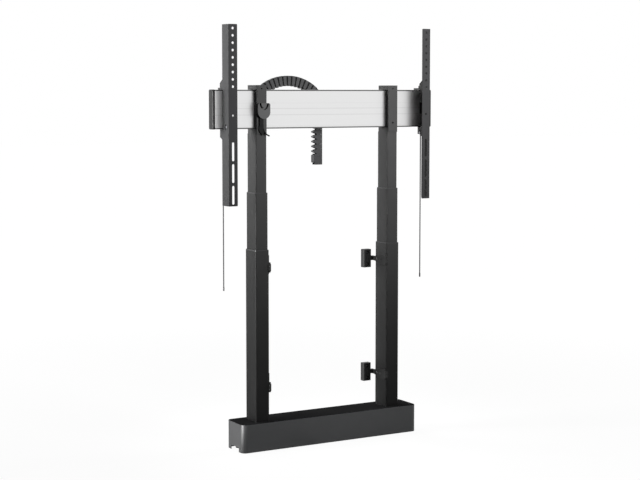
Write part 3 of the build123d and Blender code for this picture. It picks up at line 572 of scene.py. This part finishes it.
# Screws at the wall brackets: places, and radius and height of the heads. The first stand in the wall blocks,
# the second on the arms' lips in front of the columns, the third on the arms beside the columns
BRACKET_LEVELS = (0.650, 0.222)
WALL_X, WALL_Y, WALL_RISE, WALL_HEAD = 0.216, 0.0529, 0.022, (0.006, 0.005)
LIP_X, LIP_Y, LIP_RISE, LIP_HEAD = 0.2465, -0.042, 0.0065, (0.0026, 0.0014)
ARM_X, ARM_Y, ARM_HEAD = 0.240, (-0.008, 0.018), (0.004, 0.0024)

# Nuts on the levelling feet, and contacts in the mains inlet
FOOT_X, FOOT_Y = 0.323, 0.039
NUT_FLAT, NUT_BORE, NUT_LOW, NUT_HIGH = 0.018, 0.0061, 0.0135, 0.0179
INLET_Z, CONTACTS = 0.0615, ((-0.0065, -0.002), (0, 0.0025), (0.0065, -0.002))
CONTACT_HALF_X, CONTACT_HALF_Z, CONTACT_Y = 0.001, 0.002, (0.0519, 0.0600)


def clamp_screws():
    """The set screw of each clamp block, in front of the crossbar."""
    mesh = bmesh.new()
    for _, sign in SIDES:
        turned(mesh, SET_SCREW, facing(sign * COLUMN_X, CLAMP_Y, CLAMP_Z, FORWARD))
    finish_piece("clamp_screws", mesh, black_bolt, "carriage")


def bracket_screws():
    """Screws of the wall blocks and of their arms."""
    mesh = bmesh.new()
    for _, sign in SIDES:
        for level in BRACKET_LEVELS:
            for rise in (-WALL_RISE, WALL_RISE):
                socket_screw(mesh, facing(sign * WALL_X, WALL_Y, level + rise, FORWARD), *WALL_HEAD)
            for rise in (-LIP_RISE, LIP_RISE):
                socket_screw(mesh, facing(sign * LIP_X, LIP_Y, level + rise, FORWARD), *LIP_HEAD)
            for y in ARM_Y:
                socket_screw(mesh, facing(sign * ARM_X, y, level, (-sign, 0, 0)), *ARM_HEAD)
    finish_piece("bracket_screws", mesh, black_bolt, "root")


def foot_nuts():
    """The nut round each levelling foot's stud."""
    mesh = bmesh.new()
    for _, sign in SIDES:
        for y in (-FOOT_Y, FOOT_Y):
            ring(mesh, hexagon(NUT_FLAT), circle(NUT_BORE), NUT_LOW, NUT_HIGH,
                 Matrix.Translation((sign * FOOT_X, y, 0)))
    finish_piece("foot_nuts", mesh, zinc, "root")


def inlet_pins():
    """The three contacts in the mains inlet."""
    mesh = bmesh.new()
    for x, rise in CONTACTS:
        z = INLET_Z + rise
        outline = rectangle(x - CONTACT_HALF_X, x + CONTACT_HALF_X, z - CONTACT_HALF_Z, z + CONTACT_HALF_Z)
        prism(mesh, outline, *CONTACT_Y)
    finish_piece("inlet_pins", mesh, zinc, "root")


clamp_screws()
bracket_screws()
foot_nuts()
inlet_pins()

# Black pads of painted shade on the sides of the column heads, in front of the crossbar, where the clamp lies
# in shade
SHADE_PAD_FRONT, SHADE_PAD_THICK = -0.0325, 0.0004


def head_shade_pads(side):
    """Two thin black pads of painted shade on the head's sides beside the bar."""
    low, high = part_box(f"column_head_{side}")
    bar_low, bar_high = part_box("crossbar")
    mesh = bmesh.new()
    outline = rectangle(SHADE_PAD_FRONT, bar_low[1], bar_low[2], bar_high[2])
    prism(mesh, outline, low[0] - SHADE_PAD_THICK, low[0], across(1))
    prism(mesh, outline, high[0], high[0] + SHADE_PAD_THICK, across(1))
    finish_piece(f"head_shade_pads_{side}", mesh, painted_shade_mat, "carriage")


for side, _ in SIDES:
    head_shade_pads(side)

# Pivots of the hanging chain: links in each group, their pitch, what a link stops short of its upper pivot,
# and a disc's profile
TAIL_GROUPS = (4, 4, 3)
LINK_PITCH, LINK_NEAR = 0.01765, 0.00015
PIVOT, PIVOT_SIDES = ((0.0024, 0), (0.0024, 0.0002), (0.0021, 0.0004)), 16


def tail_pivots(number, links):
    """A disc on each pivot inside one group of links, on both side faces."""
    low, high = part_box(f"chain_tail_{number}")
    pivots = bmesh.new()
    for count in range(1, links):
        z = high[2] + LINK_NEAR - count * LINK_PITCH
        for y, way in ((low[1], -1), (high[1], 1)):
            turned(pivots, PIVOT, facing(high[0] - LINK_HALF, y, z, (0, way, 0)), PIVOT_SIDES)
    finish_piece(f"tail_pivots_{number}", pivots, moulded, f"chain_tail_{number}")


for number, links in enumerate(TAIL_GROUPS, 1):
    tail_pivots(number, links)

# Soft edges on the CAD nodes: their widths, and the least bend between two faces that is softened
SOFT = {
    "base_cover": 0.0015, "end_caps": 0.0008, "wall_blocks": 0.0008, "hanger_plate": 0.001,
    "hanger_tongue": 0.0005, "chain_anchor": 0.0005, "chain_end": 0.0004,
}
SOFT_PAIRS = {"display_strip": 0.0006, "column_head": 0.0008, "bracket_arms": 0.0008, "latch": 0.0005}
SOFT_ANGLE = 40
WELD_REACH = 0.00001


def soften(name, width):
    """Small rounded edges, as a coat of paint or a mould leaves them."""
    piece = nodes[name]
    weld = piece.modifiers.new("weld", "WELD")
    weld.merge_threshold = WELD_REACH
    edge = piece.modifiers.new("edge", "BEVEL")
    edge.width = width
    edge.segments = 2
    edge.limit_method = "ANGLE"
    edge.angle_limit = radians(SOFT_ANGLE)
    edge.harden_normals = True
    edge.use_clamp_overlap = True


for name, width in SOFT_PAIRS.items():
    for side, _ in SIDES:
        soften(f"{name}_{side}", width)
for name, width in SOFT.items():
    soften(name, width)

# Studio: the white that the camera sees, the faint light of the world, and the lamps, each with its name,
# place, target, size, watts and spread in degrees, and whether it lights dull and shiny looks
WHITE = (1, 1, 1, 1)
WORLD_LIGHT = 0.02
LAMPS = (
    ("front", (0.30, -1.15, 1.50), (0.05, 0, 1.40), (0.7, 0.7), 10.4, 98, True, False),
    ("left", (-1.50, 0.45, 1.50), (0, 0, 1.40), (0.7, 0.7), 14.5, 108, True, False),
    ("rear", (-0.20, 1.30, 1.50), (0, 0, 1.35), (0.9, 0.9), 10.0, 115, True, False),
    ("right", (1.60, -0.10, 1.50), (0, 0, 1.35), (0.9, 0.9), 10.0, 115, True, False),
    ("edge", (-3.00, 0.20, 0.75), (-0.27, 0, 0.75), (0.30, 1.9), 520.0, 180, False, True),
)
FLOOR_HALF, FLOOR_COLOR = 30.0, (0.15, 0.15, 0.15, 1)
# Glow of the floor at the lift and far away, and the distances at which it starts and ends to rise
GLOW_LOW, GLOW_HIGH, GLOW_START, GLOW_END = 0.94, 1.0, 0.8, 3.0


def direct_view(tree):
    """1 for what the camera sees by itself or in a shiny face, 0 for all other light."""
    path = tree.nodes.new("ShaderNodeLightPath")
    return math_node(tree, "MAXIMUM", path.outputs["Is Camera Ray"], path.outputs["Is Glossy Ray"])


def mix_shaders(tree, factor, first, second, target):
    """The first shader where the factor is 0 and the second where it is 1, led to a socket."""
    mix = tree.nodes.new("ShaderNodeMixShader")
    for socket, source in zip(mix.inputs, (factor, first, second)):
        tree.links.new(source, socket)
    tree.links.new(mix.outputs[0], target)


def light_world():
    """White for the camera and in shiny faces, and hardly any other light."""
    world = bpy.data.worlds.new("studio")
    scene.world = world
    world.use_nodes = True
    tree = world.node_tree
    back = tree.nodes["Background"]
    back.inputs["Color"].default_value = WHITE
    back.inputs["Strength"].default_value = WORLD_LIGHT
    seen = tree.nodes.new("ShaderNodeBackground")
    seen.inputs["Color"].default_value = WHITE
    seen.inputs["Strength"].default_value = 1.0
    mix_shaders(tree, direct_view(tree), back.outputs[0], seen.outputs[0],
                tree.nodes["World Output"].inputs["Surface"])


def add_lamp(name, place, target, size, watts, beam, dull, shiny):
    """An area lamp that the camera doesn't see."""
    data = bpy.data.lights.new(name, "AREA")
    data.shape = "RECTANGLE"
    data.size, data.size_y = size
    data.energy = watts
    data.spread = radians(beam)
    lamp = bpy.data.objects.new(name, data)
    lamp.location = place
    lamp.rotation_euler = (Vector(target) - Vector(place)).to_track_quat("-Z", "Y").to_euler()
    lamp.visible_camera = False
    lamp.visible_diffuse = dull
    lamp.visible_glossy = shiny
    scene.collection.objects.link(lamp)


def floor_material():
    """A grey floor that the camera sees as white, a little darker under the lift."""
    mat, tree, shader, place = node_tree("floor_white")
    shader.inputs["Base Color"].default_value = FLOOR_COLOR
    shader.inputs["Roughness"].default_value = 1.0
    shader.inputs["Specular IOR Level"].default_value = 0.0
    far = tree.nodes.new("ShaderNodeVectorMath")
    far.operation = "LENGTH"
    tree.links.new(place, far.inputs[0])
    glow = tree.nodes.new("ShaderNodeEmission")
    glow.inputs["Color"].default_value = WHITE
    tree.links.new(spread(tree, far.outputs["Value"], GLOW_LOW, GLOW_HIGH, GLOW_START, GLOW_END),
                   glow.inputs["Strength"])
    add = tree.nodes.new("ShaderNodeAddShader")
    tree.links.new(shader.outputs[0], add.inputs[0])
    tree.links.new(glow.outputs[0], add.inputs[1])
    mix_shaders(tree, direct_view(tree), shader.outputs[0], add.outputs[0],
                tree.nodes["Material Output"].inputs["Surface"])
    return mat


def lay_floor():
    """A wide square under the lift."""
    mesh = bpy.data.meshes.new("floor")
    corners = [(x, y, 0) for x, y in rectangle(-FLOOR_HALF, FLOOR_HALF, -FLOOR_HALF, FLOOR_HALF)]
    mesh.from_pydata(corners, [], [(0, 1, 2, 3)])
    floor = bpy.data.objects.new("floor", mesh)
    scene.collection.objects.link(floor)
    floor.data.materials.append(floor_material())


light_world()
for lamp in LAMPS:
    add_lamp(*lamp)
lay_floor()
